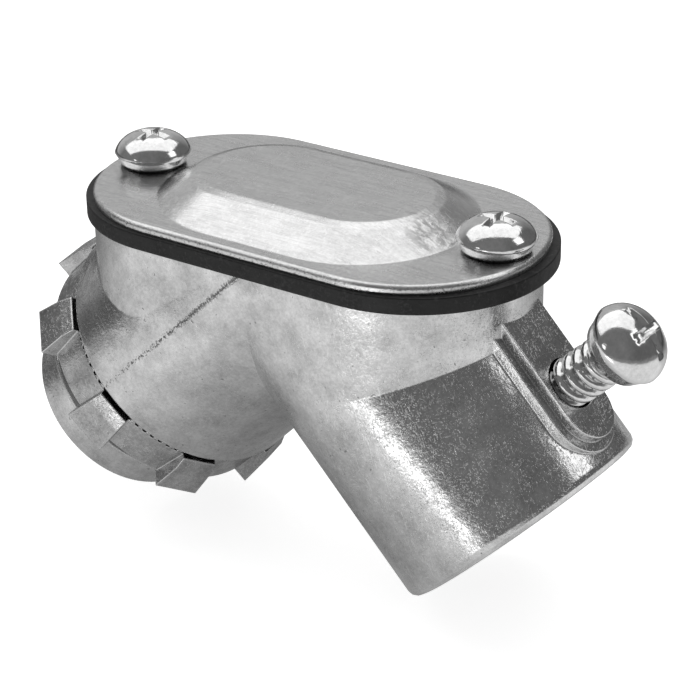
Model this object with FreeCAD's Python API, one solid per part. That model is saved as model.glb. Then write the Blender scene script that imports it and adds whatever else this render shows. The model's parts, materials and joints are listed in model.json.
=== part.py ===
import FreeCAD, Part
import math
import os
from FreeCAD import Placement, Rotation, Vector

# Pull elbow for thin-wall conduit, in millimetres. The nipple points down -Z from the shoulder's
# seat at the origin. The conduit hub points along +X. The cover faces about midway between -X
# and +Z, tilted a little more from the nipple than from the conduit.

# Elbow: where the two legs cross and how far they reach
axis_height = 21.3            # conduit axis above the shoulder's seat
hub_reach = 31.5              # conduit hub's mouth from the nipple axis
hub_radius = 12.1
hub_mouth_round = 0.9
mouth_round_steps = 3         # flats that make up the round at the hub's mouth
cover_tilt = 46.5             # degrees, the cover's length above the conduit axis
rim_rise = 0.3                # cover rim beyond the crossing of the two axes
casting_wall = 2.5

# Conduit socket in the hub
conduit_radius = 8.966
conduit_clearance = 0.2       # radial
socket_depth = 14.0
socket_lead = 0.5             # chamfer at the socket's mouth
stop_thickness = 1.6
throat_radius = 7.9

# Nipple and its shoulder
shoulder_radius = 12.75
nipple_length = 12.3
nipple_thread_radius = 10.6
nipple_thread_depth = 0.85
nipple_thread_pitch = 1.814
nipple_plain_end = 2.7        # unthreaded length at the nipple's end
nipple_end_round = 0.7
shoulder_relief = 0.6         # plain groove between shoulder and first thread

# Neck under the cover
cover_shift = -0.32           # cover's centre from the crossing of the axes, towards the conduit
neck_shift = -0.45            # neck's centre from the cover's centre
neck_half_straight = 9.85     # half the straight side of its oblong outline
screw_reach = 18.67           # cover screws from the cover's centre
screw_boss_radius = 3.1
pocket_step = 0.2             # pocket's side wall inside the leg cavities' wall
cover_hole_clearance = 0.15   # radial, hole in the casting to the screw
cover_hole_extra = 0.6        # hole deeper than the screw

# Gasket and cover plate
gasket_thickness = 1.5
gasket_half_length = 23.1
gasket_lip = 0.3              # gasket beyond the cover, at the sides
cover_thickness = 0.85
cover_half_length = 22.3
cover_side_overhang = 0.05    # cover beyond the neck, at the sides
cover_edge_break = 0.25
cover_screw_clearance = 0.35  # radial, holes in gasket and cover

# Raised panel of the cover
panel_half_length = 15.3
panel_half_width = 10.7
panel_height = 2.1
panel_slope_end = 3.45        # run of the slope at the ends
panel_slope_side = 4.1        # run of the slope at the sides
panel_hollow_inset = 0.2      # hollow's outline inside the panel's, for an even wall
panel_crown_break = 0.5

# Cover screws
cover_head_radius = 3.58
cover_head_height = 3.1
cover_shank_radius = 1.95     # over the thread's crests
cover_screw_length = 7.4      # under the head

# Set screw, shown backed out of its boss
set_screw_reach = 23.6        # from the nipple axis
set_screw_out = 5.7           # head above the boss
set_head_radius = 3.5
set_head_height = 4.2
set_shank_radius = 2.25       # over the thread's crests
set_screw_length = 9.7        # under the head
set_hole_clearance = 0.15     # radial, hole in the boss to the thread

# Set-screw boss: a flat pad on a low ledge
boss_height = 13.4            # pad above the conduit axis
boss_half_width = 3.0
boss_end_margin = 2.4         # end arc's centre beyond the set screw
ledge_drop = 1.0
ledge_width = 0.9

# Screw heads and shanks
head_edge_drop = 0.33         # of the head's height, from its widest ring to its underside
head_edge_turn = 0.16         # of the head's radius, turned in at the underside
shank_point = 0.6             # chamfer at the tip
recess_span = 0.52            # of the head's radius, half the cross
recess_width = 0.8
recess_depth = 1.7
recess_taper = 0.4            # half span left at the bottom of the cross
slot_depth = 0.75

# Locknut
locknut_gap = 0.15            # teeth to the shoulder
locknut_bore_clearance = 0.15 # radial, to the nipple's thread
locknut_ring_radius = 12.45
locknut_thickness = 4.3
locknut_chamfer = 0.4
lug_count = 8
lug_first_angle = 7.5         # degrees from the conduit hub's side
lug_front_radius = 12.85
lug_bevel_radius = 13.35
lug_tip_radius = 13.75
lug_bevel_length = 1.3
lug_root = 0.5                # sunk into the ring
lug_front_width = 3.5
lug_rear_width = 4.4
tooth_height = 0.45
tooth_width = 0.75
tooth_inset = 0.03            # from the bore and from the ring's edge
tooth_root = 0.1              # sunk into the ring
teeth_per_gap = 7

# Sizes that follow from those above
socket_radius = conduit_radius + conduit_clearance
stop_reach = hub_reach - socket_depth
cavity_radius = hub_radius - casting_wall
cavity_reach = stop_reach - stop_thickness
neck_half_length = neck_half_straight + hub_radius
nipple_fall = math.tan(math.radians(90 - cover_tilt))     # nipple axis below the rim, per mm along
conduit_fall = math.tan(math.radians(cover_tilt))         # conduit axis, likewise
neck_centre = cover_shift + neck_shift                    # from the crossing of the axes
neck_depth = rim_rise + max((neck_half_straight + neck_centre) * conduit_fall,
                            (neck_half_straight - neck_centre) * nipple_fall)
cover_half_width = hub_radius + cover_side_overhang
cover_seat = gasket_thickness + cover_thickness
core_radius = nipple_thread_radius - nipple_thread_depth
locknut_face = -locknut_gap - tooth_height
locknut_rear = locknut_face - locknut_thickness

UP = Vector(0, 0, 1)
Y_AXIS = Vector(0, 1, 0)
BEYOND = 60.0                 # length of a cutting tool that passes right through


def cover_place(x=0.0, z=0.0):
    """Frame of the cover: X along its length to the conduit side, Z outward, on the neck's rim."""
    turn = Rotation(Y_AXIS, -cover_tilt)
    origin = Vector(0, 0, axis_height) + turn.multVec(Vector(cover_shift + x, 0, rim_rise + z))
    return Placement(origin, turn)


def hub_place(reach=0.0):
    """Frame of the conduit leg: Z along the conduit axis."""
    return Placement(Vector(reach, 0, axis_height), Rotation(Y_AXIS, 90))


def placed(shape, place):
    moved = shape.copy()
    moved.Placement = place.multiply(moved.Placement)
    return moved


def turned(profile):
    """Solid of revolution about Z through (radius, height) points."""
    points = [Vector(r, 0, z) for r, z in profile]
    wire = Part.makePolygon(points + points[:1])
    return Part.Face(wire).revolve(Vector(), UP, 360)


def prism(points, depth, place=None):
    """Polygon in the XZ plane, pushed both ways along Y to a total depth."""
    corners = [Vector(x, -depth / 2, z) for x, z in points]
    solid = Part.Face(Part.makePolygon(corners + corners[:1])).extrude(Vector(0, depth, 0))
    return placed(solid, place) if place else solid


def rounded_outline(half_length, half_width, corner, height):
    """Closed wire of a rectangle with round corners. With the largest corner it is an oblong."""
    a = half_length - corner
    b = half_width - corner
    edges = []
    spans = [(a, b, 0), (-a, b, 90), (-a, -b, 180), (a, -b, 270)]
    ends = []
    for x, y, start in spans:
        arc = Part.makeCircle(corner, Vector(x, y, height), UP, start, start + 90)
        edges.append(arc)
        first = math.radians(start)
        last = math.radians(start + 90)
        ends.append((Vector(x + corner * math.cos(first), y + corner * math.sin(first), height),
                     Vector(x + corner * math.cos(last), y + corner * math.sin(last), height)))
    for here, there in zip(ends, ends[1:] + ends[:1]):
        if here[1].distanceToPoint(there[0]) > 1e-6:
            edges.append(Part.makeLine(here[1], there[0]))
    return Part.Wire(Part.__sortEdges__(edges))


def oblong(half_length, half_width, bottom, top, shift=0.0):
    """Oblong plate between two heights, its centre shifted along its length."""
    outline = rounded_outline(half_length, half_width, half_width, bottom)
    outline.translate(Vector(shift, 0, 0))
    return Part.Face(outline).extrude(Vector(0, 0, top - bottom))


def above_axes(depth):
    """Space between the rim and the two leg axes, in the cover's frame, no deeper than depth."""
    crossing = -cover_shift
    fall = depth - rim_rise
    points = [(-BEYOND, 1.0), (BEYOND, 1.0), (BEYOND, -depth), (crossing + fall / conduit_fall, -depth),
              (crossing, -rim_rise), (crossing - fall / nipple_fall, -depth), (-BEYOND, -depth)]
    return prism(points, BEYOND)


def thread_ridge(core, crest, pitch, bottom, top):
    """Helical ridge of a V thread about Z, its foot sunk into the core."""
    foot = core - 0.2 * (crest - core)
    foot_half = pitch * 0.47
    crest_half = pitch * 0.09
    helix = Part.makeHelix(pitch, top - bottom, core)
    helix.translate(Vector(0, 0, bottom))
    corners = [Vector(foot, 0, bottom - foot_half), Vector(crest, 0, bottom - crest_half),
               Vector(crest, 0, bottom + crest_half), Vector(foot, 0, bottom + foot_half)]
    section = Part.makePolygon(corners + corners[:1])
    return Part.Wire(helix).makePipeShell([section], True, True)


def head_blank(radius, height):
    """Domed head on its underside at height zero, turned in below its widest ring."""
    drop = head_edge_drop * height
    foot = radius * (1 - head_edge_turn)
    rise = height - drop
    middle = Vector(radius * math.cos(math.pi / 4), 0, drop + rise * math.sin(math.pi / 4))
    edges = [
        Part.makeLine(Vector(0, 0, 0), Vector(foot, 0, 0)),
        Part.makeLine(Vector(foot, 0, 0), Vector(radius, 0, drop)),
        Part.Arc(Vector(radius, 0, drop), middle, Vector(0, 0, height)).toShape(),
        Part.makeLine(Vector(0, 0, height), Vector(0, 0, 0))]
    return Part.Face(Part.Wire(edges)).revolve(Vector(), UP, 360)


def recess(radius, height, slotted):
    """Cross recess, with a driver slot across the head if slotted."""
    span = recess_span * radius
    foot = recess_taper * span
    floor = height - recess_depth
    wing = prism([(-span, height + 1), (span, height + 1), (span, height),
                  (foot, floor), (-foot, floor), (-span, height)], recess_width)
    tools = [placed(wing, Placement(Vector(), Rotation(UP, 90)))]
    if slotted:
        tools.append(prism([(-2 * radius, height + 1), (2 * radius, height + 1),
                            (2 * radius, height - slot_depth), (-2 * radius, height - slot_depth)],
                           recess_width))
    return wing.fuse(tools)


def screw(head_radius, head_height, shank_radius, length, slotted):
    """Screw with its underside at height zero, the head up and the shank down."""
    head = head_blank(head_radius, head_height).cut(recess(head_radius, head_height, slotted))
    shank = turned([(0, 0), (shank_radius, 0), (shank_radius, shank_point - length),
                    (shank_radius - shank_point, -length), (0, -length)])
    return head.fuse(shank).removeSplitter()


def hub_blanks():
    """The two legs as turned blanks, crossing at the elbow."""
    inner = hub_radius - hub_mouth_round
    lip = []
    for step in range(mouth_round_steps + 1):
        angle = math.radians(90 * step / mouth_round_steps)
        lip.append((inner + hub_mouth_round * math.cos(angle),
                    hub_reach - hub_mouth_round + hub_mouth_round * math.sin(angle)))
    conduit_leg = turned([(0, 0), (hub_radius, 0)] + lip + [(0, hub_reach)])
    nipple_leg = turned([(0, 0), (shoulder_radius, 0), (hub_radius, axis_height), (0, axis_height)])
    return placed(conduit_leg, hub_place()), nipple_leg


def nipple():
    """Threaded nipple below the shoulder, still solid."""
    end = -nipple_length
    thread_end = end + nipple_plain_end
    core = turned([(0, 0.5), (core_radius, 0.5), (core_radius, end + nipple_end_round),
                   (core_radius - nipple_end_round, end), (0, end)])
    first = thread_end + 0.5 * nipple_thread_pitch
    last = -shoulder_relief - 0.5 * nipple_thread_pitch
    ridge = thread_ridge(core_radius, nipple_thread_radius, nipple_thread_pitch, first, last)
    return core.fuse(ridge)


def neck():
    """Oblong neck from the rim down to the legs' sides, in the part's frame."""
    block = oblong(neck_half_length, hub_radius, -neck_depth, 0, neck_shift)
    return placed(block.common(above_axes(neck_depth)), cover_place())


def boss_tier(half_width, height, end):
    """One tier of the set-screw boss: straight sides and a round end."""
    start = axis_height / 2
    outline = rounded_outline((end - start) / 2 + half_width, half_width, half_width, axis_height)
    tier = Part.Face(outline).extrude(Vector(0, 0, height))
    return placed(tier, Placement(Vector((start + end) / 2, 0, 0), Rotation()))


def set_screw_boss():
    end = set_screw_reach + boss_end_margin
    pad = boss_tier(boss_half_width, boss_height, end)
    ledge = boss_tier(boss_half_width + ledge_width, boss_height - ledge_drop, end)
    return pad.fuse(ledge)


def above_rim():
    """Space beyond the neck's rim."""
    block = Part.makeBox(2 * BEYOND, 2 * BEYOND, BEYOND, Vector(-BEYOND, -BEYOND, 0))
    return placed(block, cover_place())


def mouth(bottom, top):
    """The pocket's mouth between two heights, with the screw bosses left standing."""
    block = oblong(neck_half_length - casting_wall, cavity_radius - pocket_step, bottom, top, neck_shift)
    for side in (-1, 1):
        boss = Part.makeCylinder(screw_boss_radius, BEYOND, Vector(side * screw_reach, 0, -BEYOND / 2))
        block = block.cut(boss)
    return block


def chamber():
    """Wiring space: the pocket under the cover round the screw bosses, and both leg cavities."""
    pocket = mouth(-cavity_reach, 1.0).common(above_axes(cavity_reach))
    reach_box = Part.makeBox(BEYOND, 2 * BEYOND, BEYOND,
                             Vector(cavity_reach - BEYOND, -BEYOND, axis_height - cavity_reach))
    pocket = placed(pocket, cover_place()).common(reach_box)
    conduit_cavity = placed(Part.makeCylinder(cavity_radius, cavity_reach), hub_place())
    nipple_cavity = Part.makeCylinder(cavity_radius, cavity_reach,
                                      Vector(0, 0, axis_height - cavity_reach), UP)
    return pocket, conduit_cavity, nipple_cavity


def bores():
    """Socket, throat and nipple bore, and the screw holes."""
    lead = socket_radius + socket_lead
    socket = turned([(0, stop_reach), (socket_radius, stop_reach), (socket_radius, hub_reach - socket_lead),
                     (lead, hub_reach), (lead, hub_reach + 1), (0, hub_reach + 1)])
    throat = turned([(0, 0), (throat_radius, 0), (throat_radius, stop_reach + 1), (0, stop_reach + 1)])
    nipple_bore = turned([(0, axis_height), (throat_radius, axis_height),
                          (throat_radius, -nipple_length - 1), (0, -nipple_length - 1)])
    set_hole = Part.makeCylinder(set_shank_radius + set_hole_clearance, boss_height + 1,
                                 Vector(set_screw_reach, 0, axis_height))
    tools = [placed(socket, hub_place()), placed(throat, hub_place()), nipple_bore, set_hole]
    depth = cover_screw_length - cover_seat + cover_hole_extra
    for side in (-1, 1):
        hole = Part.makeCylinder(cover_shank_radius + cover_hole_clearance, depth + 1,
                                 Vector(side * screw_reach, 0, -depth))
        tools.append(placed(hole, cover_place()))
    return tools


def body_casting():
    conduit_leg, nipple_leg = hub_blanks()
    solid = conduit_leg.fuse([nipple_leg, neck(), set_screw_boss()])
    solid = solid.cut(above_rim())
    solid = solid.fuse(nipple()).removeSplitter()
    for tool in list(chamber()) + bores():
        solid = solid.cut(tool)
    return solid


def cover_holes(radius):
    return [Part.makeCylinder(radius, BEYOND, Vector(side * screw_reach, 0, -BEYOND / 2))
            for side in (-1, 1)]


def gasket():
    sheet = oblong(gasket_half_length, cover_half_width + gasket_lip, 0, gasket_thickness)
    sheet = sheet.cut(mouth(-1, gasket_thickness + 1))
    for hole in cover_holes(cover_shank_radius + cover_screw_clearance):
        sheet = sheet.cut(hole)
    return placed(sheet, cover_place())


def panel(inset, base):
    """Sloped oblong block of the panel's height, drawn in by an inset all round."""
    half_width = panel_half_width - inset
    foot = rounded_outline(panel_half_length - inset, half_width, half_width, base)
    half_width = half_width - panel_slope_side
    crown = rounded_outline(panel_half_length - inset - panel_slope_end, half_width, half_width,
                            base + panel_height)
    return Part.makeLoft([foot, crown], True, True)


def cover_plate():
    plate = oblong(cover_half_length, cover_half_width, gasket_thickness, cover_seat)
    rim = [e for e in plate.Edges if e.BoundBox.ZMin > cover_seat - 0.01]
    plate = plate.makeChamfer(cover_edge_break, rim)
    raised = panel(0, cover_seat)
    crown = [e for e in raised.Edges if e.BoundBox.ZMin > cover_seat + panel_height - 0.01]
    raised = raised.makeChamfer(panel_crown_break, crown)
    hollow_mouth = oblong(panel_half_length - panel_hollow_inset, panel_half_width - panel_hollow_inset,
                          0, gasket_thickness)
    plate = plate.fuse(raised).cut(panel(panel_hollow_inset, gasket_thickness).fuse(hollow_mouth))
    for hole in cover_holes(cover_shank_radius + cover_screw_clearance):
        plate = plate.cut(hole)
    return placed(plate.removeSplitter(), cover_place())


def cover_screw(side):
    piece = screw(cover_head_radius, cover_head_height, cover_shank_radius, cover_screw_length, False)
    return placed(piece, cover_place(side * screw_reach, cover_seat))


def set_screw():
    piece = screw(set_head_radius, set_head_height, set_shank_radius, set_screw_length, True)
    seat = Vector(set_screw_reach, 0, axis_height + boss_height + set_screw_out)
    return placed(piece, Placement(seat, Rotation()))


def lug():
    """One lug on the +X side, wider to the rear, with a bevel on the face towards the body."""
    inner = locknut_ring_radius - lug_root
    face = locknut_face
    side_view = prism([(inner, face), (lug_front_radius, face), (lug_bevel_radius, face - lug_bevel_length),
                       (lug_tip_radius, locknut_rear), (inner, locknut_rear)], 2 * lug_rear_width)
    plan = [(face, lug_front_width / 2), (locknut_rear, lug_rear_width / 2),
            (locknut_rear, -lug_rear_width / 2), (face, -lug_front_width / 2)]
    corners = [Vector(inner, y, z) for z, y in plan]
    plan_view = Part.Face(Part.makePolygon(corners + corners[:1])).extrude(Vector(lug_tip_radius, 0, 0))
    return side_view.common(plan_view)


def tooth(angle):
    """Small wedge that bites the box wall, radial across the ring."""
    bore = nipple_thread_radius + locknut_bore_clearance
    half = tooth_width / 2
    start = bore + tooth_inset
    root = locknut_face - tooth_root
    corners = [Vector(start, -half, root), Vector(start, half, root),
               Vector(start, 0, locknut_face + tooth_height)]
    run = locknut_ring_radius - bore - 2 * tooth_inset
    wedge = Part.Face(Part.makePolygon(corners + corners[:1])).extrude(Vector(run, 0, 0))
    wedge.rotate(Vector(), UP, angle)
    return wedge


def locknut():
    bore = nipple_thread_radius + locknut_bore_clearance
    outer = locknut_ring_radius
    ring = turned([(bore, locknut_face), (outer, locknut_face), (outer, locknut_rear + locknut_chamfer),
                   (outer - locknut_chamfer, locknut_rear), (bore + locknut_chamfer, locknut_rear),
                   (bore, locknut_rear + locknut_chamfer)])
    pitch = 360 / lug_count
    extras = []
    for number in range(lug_count):
        start = lug_first_angle + number * pitch
        piece = lug()
        piece.rotate(Vector(), UP, start)
        extras.append(piece)
        lug_angle = math.degrees(lug_front_width / outer)
        step = (pitch - lug_angle) / teeth_per_gap
        for place in range(teeth_per_gap):
            extras.append(tooth(start + lug_angle / 2 + (place + 0.5) * step))
    return ring.fuse(extras).removeSplitter()


def main():
    nodes = {
        "body_casting": body_casting(),
        "gasket": gasket(),
        "cover_plate": cover_plate(),
        "cover_screw_conduit_end": cover_screw(1),
        "cover_screw_nipple_end": cover_screw(-1),
        "set_screw": set_screw(),
        "locknut": locknut(),
    }
    os.makedirs("parts", exist_ok=True)
    for name, shape in nodes.items():
        shape.Solids[0].exportStep("parts/" + name + ".step")
        print(name, shape.ShapeType, len(shape.Solids), shape.isValid(), round(shape.Volume, 1),
              shape.BoundBox)


main()
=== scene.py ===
import json
import math

import bmesh
import bpy
from mathutils import Matrix, Vector

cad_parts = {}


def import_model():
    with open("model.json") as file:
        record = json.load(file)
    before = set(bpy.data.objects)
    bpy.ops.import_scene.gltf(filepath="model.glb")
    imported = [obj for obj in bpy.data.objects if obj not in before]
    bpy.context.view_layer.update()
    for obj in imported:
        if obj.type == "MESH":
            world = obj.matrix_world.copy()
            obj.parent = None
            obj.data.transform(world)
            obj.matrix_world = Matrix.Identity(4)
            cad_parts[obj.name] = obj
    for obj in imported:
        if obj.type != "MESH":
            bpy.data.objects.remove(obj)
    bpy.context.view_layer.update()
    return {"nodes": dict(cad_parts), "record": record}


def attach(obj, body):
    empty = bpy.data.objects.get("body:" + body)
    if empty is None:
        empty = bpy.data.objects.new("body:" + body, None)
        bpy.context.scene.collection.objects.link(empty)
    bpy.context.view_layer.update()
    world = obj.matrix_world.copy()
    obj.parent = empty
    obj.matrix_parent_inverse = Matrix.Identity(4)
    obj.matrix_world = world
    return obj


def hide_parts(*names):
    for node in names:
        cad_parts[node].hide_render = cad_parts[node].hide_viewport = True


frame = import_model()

NODES = frame["nodes"]
JOINTS = {joint["name"]: joint for joint in frame["record"]["behaviour"]["joints"]}
MOUNTS = {mount["name"]: mount for mount in frame["record"]["mounts"]}

# The cover faces between -X and +Z. The camera, the studio and the cover's finish are set out in the
# cover's frame: its Z is the cover's normal, its origin is within the neck's rim, and its XY plane
# is level in the portrait, which shows the fitting cover up, with the ends of its two legs down.
COVER_OUT = Vector(JOINTS["cover_lift"]["axis"])
COVER_TILT = math.atan2(-COVER_OUT.x, COVER_OUT.z)
CONDUIT_HEIGHT = MOUNTS["conduit_socket"]["pos_m"][2]
RIM_RISE = 0.0003              # the neck's rim, beyond the crossing of the two legs' axes
COVER_FRAME = (Matrix.Translation((0, 0, CONDUIT_HEIGHT)) @ Matrix.Rotation(-COVER_TILT, 4, "Y")
               @ Matrix.Translation((0, 0, RIM_RISE)))

CAMERA_AZIMUTH = math.radians(35.13)
CAMERA_ELEVATION = math.radians(26.11)
CAMERA_ROLL = math.radians(-0.98)
CAMERA_DISTANCE = 0.216
CAMERA_LENS = 124.3            # millimetres, for the sensor's width below
CAMERA_SENSOR = 36
CAMERA_NEAR = 0.001
AIM_RIGHT = 0.0026             # the aim from that frame's origin, along the picture's axes
AIM_UP = -0.0108
TOWARDS = Vector((math.sin(CAMERA_AZIMUTH), -math.cos(CAMERA_AZIMUTH), 0))     # level, to the camera
ACROSS = Vector((math.cos(CAMERA_AZIMUTH), math.sin(CAMERA_AZIMUTH), 0))       # level, to its right

# the overhead lamp, with its middle and its sides in shares of its height
OVERHEAD_HEIGHT = 0.40
OVERHEAD_TOWARDS = -0.435
OVERHEAD_ACROSS = -0.30
OVERHEAD_SIDES = (2.4, 1.19)
OVERHEAD_LEVEL = 0.96
LAMP_DISTANCE = 0.40
# name, direction, direction of the long side, sides and level of the small lamps
SMALL_LAMPS = (
    ("front_left", (-0.327, -0.902, 0.262), (0, 0, 1), (0.05, 0.05), 3.0),
    ("back_right", (0.725, 0.29, 0.63), (0, 1, 0), (0.15, 0.15), 1.3),
)

# The studio's surround: its level everywhere, and what is added behind, on the left and below. Each
# fade goes from none to all of it, as the cosine from TOWARDS, from ACROSS and from straight up.
SURROUND_BASE = 0.16
SURROUND_BEHIND = 0.37
SURROUND_LEFT = 0.05
SURROUND_LOW = 0.5
BEHIND_FADE = (-0.35, -0.8)
LEFT_FADE = (0.65, 0.1)
LOW_FADE = (0.0, -0.1)

FLOOR_DROP = 0.0316            # from the rim to the floor, which lies just clear of the legs' ends
FLOOR_HALF = 1.5
FLOOR_GREY = 0.85
FLOOR_LIFT = 0.82              # light added to the floor that the camera sees
# the floor that the metal mirrors, with painted light: a painted shadow under the fitting, dark round the
# middle, then bright out to 0.17 m and dark beyond: (distance, level) pairs
FLOOR_RINGS = ((0.0, 0.20), (0.028, 0.52), (0.050, 0.77), (0.170, 0.77), (0.210, 0.22))
FLOOR_FADE = (-0.06, 0.01)     # along TOWARDS, where it falls to the share left behind the fitting: painted shade there
FLOOR_BEHIND = 0.3
# a painted bright strip on it, glowing only in reflections, that the hub mirrors as its highlight: start,
# end and fade by distance and along X
FLOOR_STRIP = (0.091, 0.190, 0.005)
FLOOR_STRIP_SIDE = (-0.010, 0.018, 0.024)
FLOOR_STRIP_LEVEL = 1.9

PARTING_X = -0.0003            # the casting's parting line, on the camera's side of the nipple
PARTING_BAND = (PARTING_X + 0.00015, PARTING_X + 0.00021, 0.00045)
HUB_SCRATCHED = (0.011, 0.017)     # along X, where the casting's scratched hub begins
# centre, radius and depth of stains: in the part's frame, and on the cover in the cover's
DARK_PATCHES = (((-0.0105, -0.0060, 0.0035), 0.0022, 0.45),)
COVER_PATCHES = (((0.0128, -0.0020, 0.0030), 0.0030, 0.6),)
STROKE_TURNS = ((0.3, 0.2, 0), (1.5, 0.4, 0.2), (0.8, 1.2, 0.5), (0.6, -1.0, 1.1), (2.2, 0.7, 2.0))
STROKE_LENGTH = 9              # times a scratch's width
NORMAL_SAMPLES = 8
EDGE_SAMPLES = 6
CAVITY_SAMPLES = 8

# Screws: the seat under the head, the direction out of the hole, the shank's length, the radius over
# the thread's crests, the pitch, and the head's width and height over the CAD's and its sides' bulge.
SCREW_REACH = 0.01867
COVER_SHIFT = -0.00032
COVER_SEAT = 0.00235
COVER_SCREW = {
    "out": COVER_OUT,
    "length": 0.0074,
    "crest": 0.00195,
    "pitch": 0.00095,
    "head": (0.99, 0.95, 0.78),
}
SCREWS = {
    "cover_screw_conduit_end": {
        "body": "screw_conduit_end",
        "seat": COVER_FRAME @ Vector((COVER_SHIFT + SCREW_REACH, 0, COVER_SEAT)),
        **COVER_SCREW,
    },
    "cover_screw_nipple_end": {
        "body": "screw_nipple_end",
        "seat": COVER_FRAME @ Vector((COVER_SHIFT - SCREW_REACH, 0, COVER_SEAT)),
        **COVER_SCREW,
    },
    "set_screw": {
        "body": "clamp_screw",
        "seat": Vector((0.0236, 0, 0.0404)),
        "out": Vector((0, 0, 1)),
        "length": 0.0097,
        "crest": 0.00225,
        "pitch": 0.0012,
        "head": (1.06, 1.0, 0.85),
    },
}
THREAD_DEPTH = 0.46            # of the pitch
THREAD_SLOPE = 3.1             # how steeply a ridge rises and falls along a pitch
THREAD_AROUND = 56             # points round a turn
THREAD_ROWS = 12               # rows of points along a pitch
POINT_TAPER = 0.0004
HEAD_OVERLAP = 0.0003          # the shank's top, hidden inside the head
SEAT_GAP = 0.00001             # keeps a head's underside just off the face it sits on
WELD_DISTANCE = 1e-6
CUT_TOLERANCE = 2e-6
SHARP_ANGLE = math.radians(38)


# ---------------------------------------------------------------- node helpers

def new_material(name, metallic):
    material = bpy.data.materials.new(name)
    material.use_nodes = True
    tree = material.node_tree
    shader = tree.nodes["Principled BSDF"]
    shader.inputs["Metallic"].default_value = metallic
    return material, tree, shader


def connect(tree, shader, colour, roughness, normal):
    for name, value in (("Base Color", colour), ("Roughness", roughness), ("Normal", normal)):
        tree.links.new(value, shader.inputs[name])


def add(tree, kind, **inputs):
    node = tree.nodes.new("ShaderNode" + kind)
    for key, value in inputs.items():
        node.inputs[key].default_value = value
    return node


def coordinates(tree):
    """Position in metres, in the object's own frame. For a piece of the part that is the part's frame."""
    return add(tree, "TexCoord").outputs["Object"]


def cover_coordinates(tree, source, location):
    """The same vector in the cover's frame, whose Z is the cover's normal."""
    mapping = add(tree, "Mapping", Location=location, Rotation=(0, -COVER_TILT, 0))
    mapping.vector_type = "TEXTURE"
    tree.links.new(source, mapping.inputs["Vector"])
    return mapping.outputs["Vector"]


def separate(tree, vector):
    node = add(tree, "SeparateXYZ")
    tree.links.new(vector, node.inputs["Vector"])
    return node.outputs


def vector_node(tree, operation, vector, fixed=(0, 0, 0)):
    """Vector operation on a node's vector and a fixed one."""
    node = add(tree, "VectorMath")
    node.operation = operation
    node.inputs[1].default_value = fixed
    tree.links.new(vector, node.inputs[0])
    return node


def stretched(tree, vector, scale):
    return vector_node(tree, "MULTIPLY", vector, scale).outputs["Vector"]


def dot(tree, vector, axis):
    return vector_node(tree, "DOT_PRODUCT", vector, axis).outputs["Value"]


def noise(tree, vector, scale, detail, rough, distortion=0.0):
    node = add(tree, "TexNoise", Scale=scale, Detail=detail, Roughness=rough, Distortion=distortion)
    tree.links.new(vector, node.inputs["Vector"])
    return node.outputs["Fac"]


def ramp(tree, value, low, high, bottom=0.0, top=1.0):
    """Value from low to high becomes bottom to top."""
    node = add(tree, "MapRange")
    for key, number in (("From Min", low), ("From Max", high), ("To Min", bottom), ("To Max", top)):
        node.inputs[key].default_value = number
    tree.links.new(value, node.inputs["Value"])
    return node.outputs["Result"]


def math_node(tree, operation, a, b):
    node = add(tree, "Math")
    node.operation = operation
    for socket, value in zip(node.inputs, (a, b)):
        if isinstance(value, (int, float)):
            socket.default_value = value
        else:
            tree.links.new(value, socket)
    return node.outputs["Value"]


def total(tree, *terms):
    """Sum of (value, weight) pairs."""
    result = None
    for value, weight in terms:
        term = math_node(tree, "MULTIPLY", value, weight)
        result = term if result is None else math_node(tree, "ADD", result, term)
    return result


def product(tree, *values):
    result = values[0]
    for value in values[1:]:
        result = math_node(tree, "MULTIPLY", result, value)
    return result


def strongest(tree, *masks):
    result = masks[0]
    for mask in masks[1:]:
        result = math_node(tree, "MAXIMUM", result, mask)
    return result


def mix_colour(tree, factor, first, second):
    """Mix of two greys, or of the colour from another node and a grey."""
    node = add(tree, "Mix")
    node.data_type = "RGBA"
    sockets = [socket for socket in node.inputs if socket.type == "RGBA"]
    for socket, colour in zip(sockets, (first, second)):
        if isinstance(colour, float):
            socket.default_value = (colour, colour, colour, 1)
        else:
            tree.links.new(colour, socket)
    tree.links.new(factor, node.inputs["Factor"])
    return next(socket for socket in node.outputs if socket.type == "RGBA")


def laid(tree, colour, mask, amount, grey):
    """The colour with a grey over it, by amount where the mask is 1."""
    return mix_colour(tree, product(tree, mask, amount), colour, grey)


def mix_shader(tree, factor, first, second=None):
    """Mix of two shaders, or of a shader and nothing."""
    node = add(tree, "MixShader")
    tree.links.new(factor, node.inputs["Fac"])
    tree.links.new(first, node.inputs[1])
    if second:
        tree.links.new(second, node.inputs[2])
    return node.outputs["Shader"]


def band(tree, value, low, high, soft):
    """1 between low and high, falling to 0 over soft."""
    rise = ramp(tree, value, low - soft, low)
    fall = ramp(tree, value, high + soft, high)
    return product(tree, rise, fall)


def spot(tree, vector, centre, radius, ragged):
    """1 at a place, fading out round the radius. The ragged noise adds half a radius on average."""
    distance = vector_node(tree, "DISTANCE", vector, centre).outputs["Value"]
    distance = total(tree, (distance, 1.0), (ragged, radius))
    return ramp(tree, distance, 1.5 * radius, 0.9 * radius)


def rounded_normal(tree, radius, samples):
    node = add(tree, "Bevel", Radius=radius)
    node.samples = samples
    return node.outputs["Normal"]


def edge_mask(tree, radius, low, high):
    """1 on outside and inside edges, from how far a rounded normal leaves the real one."""
    agreement = vector_node(tree, "DOT_PRODUCT", rounded_normal(tree, radius, EDGE_SAMPLES))
    tree.links.new(add(tree, "NewGeometry").outputs["Normal"], agreement.inputs[1])
    return ramp(tree, agreement.outputs["Value"], high, low)


def cavity(tree, distance, low, high):
    """1 in inside corners and gaps, where light doesn't reach and grime stays. Laid over a colour, it
    paints shade there.
    """
    node = add(tree, "AmbientOcclusion", Distance=distance)
    node.samples = CAVITY_SAMPLES
    return ramp(tree, node.outputs["AO"], high, low)


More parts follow.
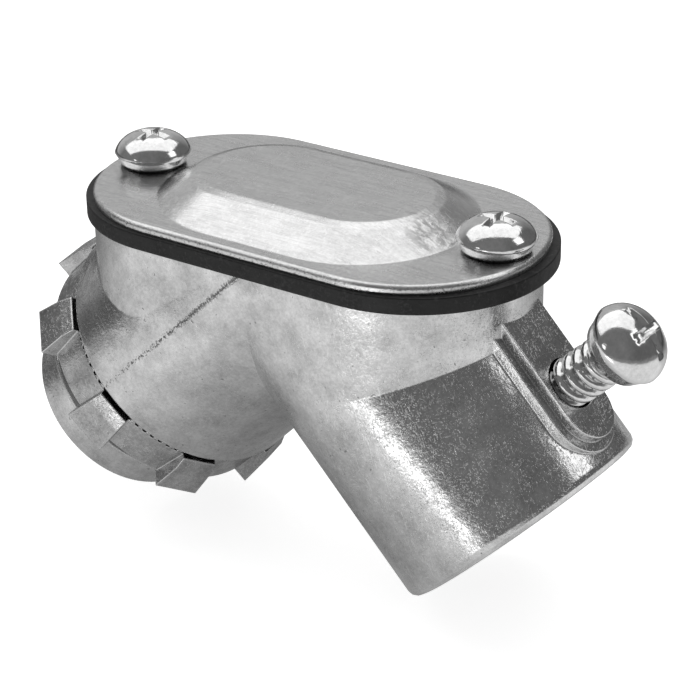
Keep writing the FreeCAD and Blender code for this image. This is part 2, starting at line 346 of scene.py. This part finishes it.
def bump(tree, height, strength, distance, normal):
    node = add(tree, "Bump", Strength=strength, Distance=distance)
    tree.links.new(height, node.inputs["Height"])
    tree.links.new(normal, node.inputs["Normal"])
    return node.outputs["Normal"]


def scratches(tree, vector, scale, low, high):
    """Short fine strokes in several directions, as tumbling and handling leave them."""
    strokes = []
    for turn in STROKE_TURNS:
        mapping = add(tree, "Mapping", Rotation=turn, Scale=(1, 1, STROKE_LENGTH))
        mapping.vector_type = "TEXTURE"
        tree.links.new(vector, mapping.inputs["Vector"])
        grain = noise(tree, mapping.outputs["Vector"], scale, detail=1, rough=0.5, distortion=0.4)
        strokes.append(ramp(tree, grain, low, high))
    return strongest(tree, *strokes)


# ---------------------------------------------------------------- materials

def handling_marks(tree, vector):
    """The castings' scratches, in patches where they are dense or sparse."""
    handled = ramp(tree, noise(tree, vector, 420, detail=3, rough=0.6), 0.40, 0.60, 0.30, 1.0)
    return product(tree, scratches(tree, vector, 5600, 0.66, 0.72), handled)


def parting_groove(tree, vector, blotch):
    """The mould's parting line up the camera's side of the casting, broken up and faint at its foot."""
    place = separate(tree, vector)
    wander = total(tree, (place["X"], 1.0), (blotch, 0.0004))
    seam = product(tree, band(tree, wander, *PARTING_BAND),
                   band(tree, place["Z"], 0.0005, CONDUIT_HEIGHT, 0.002),
                   ramp(tree, place["Y"], -0.004, -0.008))
    strength = ramp(tree, place["Z"], 0.002, 0.014, 0.45, 1.0)
    grain = noise(tree, vector, 5200, detail=3, rough=0.7)
    ragged = total(tree, (grain, 1.0), (product(tree, seam, strength), 0.24))
    return product(tree, seam, ramp(tree, ragged, 0.67, 0.71))


def dark_patches(tree, vector, blotch):
    return [product(tree, spot(tree, vector, centre, radius, blotch), depth)
            for centre, radius, depth in DARK_PATCHES]


def casting_colour(tree, tone, scratch, stain, dirt_and_shade, dark, light):
    """Mottled grey, with bright scratches and worn edges, dark stains, and painted shade with grime in its
    corners and gaps.
    """
    colour = mix_colour(tree, ramp(tree, tone, 0.38, 0.62), dark, light)
    colour = laid(tree, colour, scratch, amount=0.60, grey=0.98)
    colour = laid(tree, colour, stain, amount=1.0, grey=0.10)
    # painted shade: darker in broad inside corners and creases, such as where the neck meets the hub
    colour = laid(tree, colour, cavity(tree, 0.007, 0.35, 0.70), amount=0.35, grey=0.05)
    colour = laid(tree, colour, edge_mask(tree, 0.0003, 0.86, 0.995), amount=0.75, grey=0.97)
    # painted shade with grime: dark in tight corners and gaps
    return laid(tree, colour, dirt_and_shade, amount=0.85, grey=0.05)


def casting_finish(name, dark, light, rough, smooth, is_body):
    """Tumbled die casting: mottled, with fine specks, scratches, pits, bright worn edges, and painted shade
    with grime in its corners.
    """
    material, tree, shader = new_material(name, metallic=1.0)
    vector = coordinates(tree)
    cloud = noise(tree, vector, 170, detail=5, rough=0.62)
    blotch = noise(tree, vector, 600, detail=4, rough=0.6)
    speck = noise(tree, vector, 3600, detail=2, rough=0.6)
    pits = ramp(tree, noise(tree, vector, 2400, detail=2, rough=0.5), 0.70, 0.76)
    # tight corners and gaps: painted shade with grime in the colour, and a little rougher there
    dirt_and_shade = cavity(tree, 0.0012, 0.25, 0.62)
    scratch = handling_marks(tree, vector)
    stains = [product(tree, pits, 0.6)]
    relief = [(speck, 0.6), (pits, -1.0)]
    if is_body:
        on_hub = ramp(tree, separate(tree, vector)["X"], *HUB_SCRATCHED, 0.35, 1.0)
        scratch = product(tree, scratch, on_hub)
        groove = parting_groove(tree, vector, blotch)
        stains += [product(tree, groove, 0.9), *dark_patches(tree, vector, blotch)]
        relief.append((groove, -2.0))
    relief.append((scratch, 0.8))
    tone = total(tree, (cloud, 0.45), (blotch, 0.30), (speck, 0.25))
    colour = casting_colour(tree, tone, scratch, strongest(tree, *stains), dirt_and_shade, dark, light)
    gloss = ramp(tree, total(tree, (cloud, 0.5), (blotch, 0.5)), 0.35, 0.65, rough, smooth)
    gloss = total(tree, (gloss, 1.0), (scratch, 0.22), (dirt_and_shade, 0.2))
    normal = rounded_normal(tree, 0.00022, NORMAL_SAMPLES)
    waves = total(tree, (blotch, 0.7), (cloud, 0.9))
    normal = bump(tree, waves, strength=0.30, distance=0.0002, normal=normal)
    normal = bump(tree, total(tree, *relief), strength=0.45, distance=0.00004, normal=normal)
    connect(tree, shader, colour, gloss, normal)
    return material


def worn_patch(tree, vector, centre, radius, ragged):
    """Dark streaks along the cover, within a ragged spot."""
    streak = noise(tree, stretched(tree, vector, (0.4, 1, 1)), 1500, detail=3, rough=0.7)
    return product(tree, spot(tree, vector, centre, radius, ragged), ramp(tree, streak, 0.42, 0.58))


def edge_nicks(tree, vector):
    """Dark nicks on the cover's edge, below its top face."""
    edge = ramp(tree, separate(tree, vector)["Z"], COVER_SEAT - 0.0001, COVER_SEAT - 0.0002)
    return product(tree, edge, ramp(tree, noise(tree, vector, 4200, detail=2, rough=0.6), 0.58, 0.66))


def cover_metal():
    """Rolled plate, brushed along the cover's length, with a nicked edge."""
    material, tree, shader = new_material("cover_metal", metallic=1.0)
    vector = cover_coordinates(tree, coordinates(tree), COVER_FRAME.translation)
    grain = noise(tree, stretched(tree, vector, (0.05, 1, 1)), 7000, detail=3, rough=0.6)
    streak = noise(tree, stretched(tree, vector, (0.12, 1, 1)), 1500, detail=3, rough=0.6)
    blotch = noise(tree, vector, 420, detail=5, rough=0.65)
    speck = noise(tree, vector, 3000, detail=2, rough=0.6)
    scratch = scratches(tree, vector, 3600, 0.68, 0.72)
    tone = total(tree, (blotch, 0.25), (grain, 0.30), (streak, 0.25), (speck, 0.2))
    colour = mix_colour(tree, ramp(tree, tone, 0.38, 0.62), 0.62, 0.88)
    colour = laid(tree, colour, scratch, amount=0.35, grey=0.95)
    colour = laid(tree, colour, edge_nicks(tree, vector), amount=0.7, grey=0.10)
    for centre, radius, depth in COVER_PATCHES:
        patch = worn_patch(tree, vector, centre, radius, blotch)
        colour = laid(tree, colour, patch, amount=depth, grey=0.12)
    gloss = ramp(tree, blotch, 0.3, 0.7, 0.30, 0.20)
    normal = rounded_normal(tree, 0.00035, NORMAL_SAMPLES)
    normal = bump(tree, blotch, strength=0.09, distance=0.00015, normal=normal)
    fine = total(tree, (grain, 0.7), (speck, 0.3), (scratch, 0.5))
    normal = bump(tree, fine, strength=0.30, distance=0.000025, normal=normal)
    connect(tree, shader, colour, gloss, normal)
    return material


def gasket_rubber():
    """Black rubber with a fine dusty grain."""
    material, tree, shader = new_material("gasket_rubber", metallic=0.0)
    vector = coordinates(tree)
    speck = noise(tree, vector, 2600, detail=4, rough=0.7)
    dust = noise(tree, vector, 500, detail=4, rough=0.7)
    tone = total(tree, (speck, 0.6), (dust, 0.4))
    colour = mix_colour(tree, ramp(tree, tone, 0.52, 0.68), 0.010, 0.075)
    gloss = ramp(tree, dust, 0.3, 0.7, 0.45, 0.65)
    normal = rounded_normal(tree, 0.00025, NORMAL_SAMPLES)
    normal = bump(tree, speck, strength=0.35, distance=0.00005, normal=normal)
    connect(tree, shader, colour, gloss, normal)
    return material


def screw_plating():
    """Bright plating with faint clouds, handling marks, and painted shade in its recesses and between the
    thread's ridges.
    """
    material, tree, shader = new_material("screw_plating", metallic=1.0)
    vector = coordinates(tree)
    cloud = noise(tree, vector, 500, detail=5, rough=0.6)
    fine = noise(tree, vector, 2600, detail=3, rough=0.6)
    marks = scratches(tree, vector, 3600, 0.68, 0.74)
    tone = total(tree, (cloud, 0.6), (fine, 0.4))
    colour = mix_colour(tree, ramp(tree, tone, 0.35, 0.65), 0.70, 0.93)
    # painted shade: darker in the head's recess, under the head and between the thread's ridges
    colour = laid(tree, colour, cavity(tree, 0.0009, 0.25, 0.60), amount=0.85, grey=0.06)
    gloss = ramp(tree, tone, 0.35, 0.65, 0.17, 0.07)
    normal = rounded_normal(tree, 0.00014, NORMAL_SAMPLES)
    normal = bump(tree, cloud, strength=0.16, distance=0.0001, normal=normal)
    relief = total(tree, (fine, 0.6), (marks, -0.6))
    normal = bump(tree, relief, strength=0.16, distance=0.00002, normal=normal)
    connect(tree, shader, colour, gloss, normal)
    return material


def paint(piece, material):
    mesh = piece.data
    if not mesh.materials:
        mesh.materials.append(material)
    for index in range(len(mesh.materials)):
        mesh.materials[index] = material


def dress():
    """Give every piece its finish, and the screws their threads."""
    body = casting_finish("cast_zinc", dark=0.51, light=0.88, rough=0.26, smooth=0.13, is_body=True)
    nut = casting_finish("locknut_zinc", dark=0.34, light=0.76, rough=0.34, smooth=0.16, is_body=False)
    paint(NODES["body_casting"], body)
    paint(NODES["locknut"], nut)
    paint(NODES["cover_plate"], cover_metal())
    paint(NODES["gasket"], gasket_rubber())
    plating = screw_plating()
    for name, screw in SCREWS.items():
        paint(threaded_screw(name, **screw), plating)


# ---------------------------------------------------------------- threaded screws

def threaded_screw(name, body, seat, out, length, crest, pitch, head):
    """The CAD screw's head on a threaded shank: the thread's crest is where the CAD has its plain shank."""
    part = bmesh.new()
    top = head_only(NODES[name].data, out, seat)
    reshape(top, seat, out, *head)
    part.from_mesh(top)
    shank = thread_shank(length, crest, pitch)
    turn = out.to_track_quat("Z", "Y").to_matrix().to_4x4()
    shank.transform(Matrix.Translation(seat) @ turn)
    part.from_mesh(shank)
    mesh = as_mesh(part, name + "_threaded")
    mesh.shade_smooth()
    mesh.set_sharp_from_angle(angle=SHARP_ANGLE)
    piece = bpy.data.objects.new(name + "_threaded", mesh)
    bpy.context.scene.collection.objects.link(piece)
    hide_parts(name)
    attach(piece, body)
    return piece


def as_mesh(part, name):
    """A mesh of what a bmesh holds. The bmesh is freed."""
    mesh = bpy.data.meshes.new(name)
    part.to_mesh(mesh)
    part.free()
    return mesh


def reshape(mesh, seat, out, wide, tall, bulge):
    """Head a share wider and taller than the CAD's, with its widest ring raised where bulge is under 1."""
    full = max((vertex.co - seat).dot(out) for vertex in mesh.vertices)
    for vertex in mesh.vertices:
        height = (vertex.co - seat).dot(out)
        across = vertex.co - seat - out * height
        raised = SEAT_GAP + full * tall * max(0.0, height / full) ** bulge
        vertex.co = seat + across * wide + out * raised


def head_only(source, out, seat):
    """Everything of the screw above its seat, closed again underneath."""
    part = bmesh.new()
    part.from_mesh(source)
    bmesh.ops.remove_doubles(part, verts=part.verts, dist=WELD_DISTANCE)
    geometry = part.verts[:] + part.edges[:] + part.faces[:]
    bmesh.ops.bisect_plane(part, geom=geometry, plane_co=seat, plane_no=out, dist=CUT_TOLERANCE,
                           clear_inner=True)
    bmesh.ops.holes_fill(part, edges=[edge for edge in part.edges if edge.is_boundary], sides=0)
    bmesh.ops.recalc_face_normals(part, faces=part.faces)
    return as_mesh(part, "head")


def thread_ring(part, height, length, crest, pitch):
    """Points round the shank at a height: they follow the ridge, and draw in at the blunt point."""
    depth = THREAD_DEPTH * pitch
    point = min(1.0, (length + height) / pitch)
    ring = []
    for step in range(THREAD_AROUND):
        angle = 2 * math.pi * step / THREAD_AROUND
        phase = (height / pitch - step / THREAD_AROUND) % 1.0
        ridge = min(1.0, max(0.0, THREAD_SLOPE * (0.5 - abs(phase - 0.5))))
        radius = crest - depth * (1 - ridge * point) - POINT_TAPER * (1 - point)
        ring.append(part.verts.new((radius * math.cos(angle), radius * math.sin(angle), height)))
    return ring


def thread_shank(length, crest, pitch):
    """Closed threaded rod from just inside the head, at +Z, down to a blunt point."""
    part = bmesh.new()
    full = length + HEAD_OVERLAP
    count = int(full / pitch * THREAD_ROWS)
    heights = [HEAD_OVERLAP - full * row / count for row in range(count + 1)]
    rings = [thread_ring(part, height, length, crest, pitch) for height in heights]
    for upper, lower in zip(rings, rings[1:]):
        for step in range(THREAD_AROUND):
            after = (step + 1) % THREAD_AROUND
            part.faces.new((upper[step], lower[step], lower[after], upper[after]))
    part.faces.new(rings[0])
    part.faces.new(reversed(rings[-1]))
    bmesh.ops.recalc_face_normals(part, faces=part.faces)
    return as_mesh(part, "shank")


# ---------------------------------------------------------------- studio and camera

def place_camera():
    back = TOWARDS * math.cos(CAMERA_ELEVATION) + Vector((0, 0, math.sin(CAMERA_ELEVATION)))
    upright = back.cross(ACROSS)
    right = ACROSS * math.cos(CAMERA_ROLL) + upright * math.sin(CAMERA_ROLL)
    up = upright * math.cos(CAMERA_ROLL) - ACROSS * math.sin(CAMERA_ROLL)
    pose = Matrix((right, up, back)).transposed().to_4x4()
    pose.translation = back * CAMERA_DISTANCE + right * AIM_RIGHT + up * AIM_UP
    data = bpy.data.cameras.new("camera")
    data.lens = CAMERA_LENS
    data.sensor_width = CAMERA_SENSOR
    data.clip_start = CAMERA_NEAR
    camera = bpy.data.objects.new("camera", data)
    camera.matrix_world = COVER_FRAME @ pose
    bpy.context.scene.collection.objects.link(camera)
    bpy.context.scene.camera = camera


def lamp(name, centre, facing, across, sides, level):
    """Soft rectangular lamp in the cover's frame. Its long side follows across, and level is how bright."""
    data = bpy.data.lights.new(name, "AREA")
    data.shape = "RECTANGLE"
    data.size, data.size_y = sides
    data.energy = level * math.pi * data.size * data.size_y
    holder = bpy.data.objects.new(name, data)
    back = -Vector(facing).normalized()
    side = (Vector(across) - back * back.dot(Vector(across))).normalized()
    pose = Matrix((side, back.cross(side), back)).transposed().to_4x4()
    pose.translation = centre
    holder.matrix_world = COVER_FRAME @ pose
    bpy.context.scene.collection.objects.link(holder)


def lamps():
    middle = Vector((0, 0, 1)) + TOWARDS * OVERHEAD_TOWARDS + ACROSS * OVERHEAD_ACROSS
    sides = [share * OVERHEAD_HEIGHT for share in OVERHEAD_SIDES]
    lamp("overhead", middle * OVERHEAD_HEIGHT, (0, 0, -1), ACROSS, sides, OVERHEAD_LEVEL)
    for name, direction, across, sides, level in SMALL_LAMPS:
        place = Vector(direction).normalized() * LAMP_DISTANCE
        lamp(name, place, -place, across, sides, level)


def world():
    """Studio surround: grey behind, dark in front and on the right, and white to the camera."""
    studio = bpy.data.worlds.new("studio")
    bpy.context.scene.world = studio
    studio.use_nodes = True
    tree = studio.node_tree
    tree.nodes.clear()
    vector = cover_coordinates(tree, add(tree, "TexCoord").outputs["Generated"], (0, 0, 0))
    left = ramp(tree, dot(tree, vector, ACROSS), *LEFT_FADE)
    behind = product(tree, ramp(tree, dot(tree, vector, TOWARDS), *BEHIND_FADE), left)
    low = ramp(tree, dot(tree, vector, (0, 0, 1)), *LOW_FADE)
    added = total(tree, (behind, SURROUND_BEHIND), (left, SURROUND_LEFT), (low, SURROUND_LOW))
    surround = add(tree, "Background")
    tree.links.new(math_node(tree, "ADD", added, SURROUND_BASE), surround.inputs["Strength"])
    white = add(tree, "Background", Color=(1, 1, 1, 1))
    seen = add(tree, "LightPath").outputs["Is Camera Ray"]
    mixed = mix_shader(tree, seen, surround.outputs["Background"], white.outputs["Background"])
    tree.links.new(mixed, add(tree, "OutputWorld").inputs["Surface"])


def ring_levels(tree, distance):
    """The mirrored floor's painted level by distance from its middle, below the cover frame's origin, with
    its painted shadow in the middle.
    """
    furthest = FLOOR_RINGS[-1][0]
    node = add(tree, "ValToRGB")
    tree.links.new(math_node(tree, "DIVIDE", distance, furthest), node.inputs["Fac"])
    stops = node.color_ramp.elements
    while len(stops) < len(FLOOR_RINGS):
        stops.new(1.0)
    for stop, (radius, level) in zip(stops, FLOOR_RINGS):
        stop.position = radius / furthest
        stop.color = (level, level, level, 1)
    return node.outputs["Color"]


def mirrored_level(tree):
    """How bright the floor is in reflections, all painted light: rings with a painted shadow in the middle,
    a painted bright strip in front for the hub's highlight, and painted shade behind the fitting.
    """
    vector = coordinates(tree)
    distance = vector_node(tree, "LENGTH", vector).outputs["Value"]
    strip = product(tree, band(tree, distance, *FLOOR_STRIP),
                    band(tree, dot(tree, vector, (1, 0, 0)), *FLOOR_STRIP_SIDE), FLOOR_STRIP_LEVEL)
    fade = ramp(tree, dot(tree, vector, TOWARDS), *FLOOR_FADE, FLOOR_BEHIND, 1.0)
    return product(tree, math_node(tree, "ADD", ring_levels(tree, distance), strip), fade)


def floor_paper():
    """White to the camera but for the object's shadow, with painted levels in metal (a painted shadow, a
    painted bright strip and painted shade behind), open from below.
    """
    material, tree, shader = new_material("floor", metallic=0.0)
    tree.nodes.remove(shader)
    paper = add(tree, "BsdfDiffuse", Color=(FLOOR_GREY, FLOOR_GREY, FLOOR_GREY, 1))
    path = add(tree, "LightPath").outputs
    mirrored = strongest(tree, path["Is Glossy Ray"], path["Is Transmission Ray"])
    # even light to the camera, and the painted shadow, strip and shade in reflections
    glow = total(tree, (path["Is Camera Ray"], FLOOR_LIFT),
                 (product(tree, mirrored, mirrored_level(tree)), 1.0))
    shine = add(tree, "Emission", Color=(1, 1, 1, 1))
    tree.links.new(glow, shine.inputs["Strength"])
    both = add(tree, "AddShader")
    tree.links.new(mix_shader(tree, mirrored, paper.outputs["BSDF"]), both.inputs[0])
    tree.links.new(shine.outputs["Emission"], both.inputs[1])
    below = add(tree, "NewGeometry").outputs["Backfacing"]
    clear = add(tree, "BsdfTransparent").outputs["BSDF"]
    surface = mix_shader(tree, below, both.outputs["Shader"], clear)
    tree.links.new(surface, tree.nodes["Material Output"].inputs["Surface"])
    return material


def floor():
    """Pale floor, level in the cover's frame, below the legs' ends."""
    half = FLOOR_HALF
    corners = [(-half, -half, 0), (half, -half, 0), (half, half, 0), (-half, half, 0)]
    mesh = bpy.data.meshes.new("floor")
    mesh.from_pydata(corners, [], [(0, 1, 2, 3)])
    mesh.materials.append(floor_paper())
    plane = bpy.data.objects.new("floor", mesh)
    plane.matrix_world = COVER_FRAME @ Matrix.Translation((0, 0, -FLOOR_DROP))
    bpy.context.scene.collection.objects.link(plane)


dress()
world()
floor()
lamps()
place_camera()
bpy.context.scene.view_settings.view_transform = "Standard"
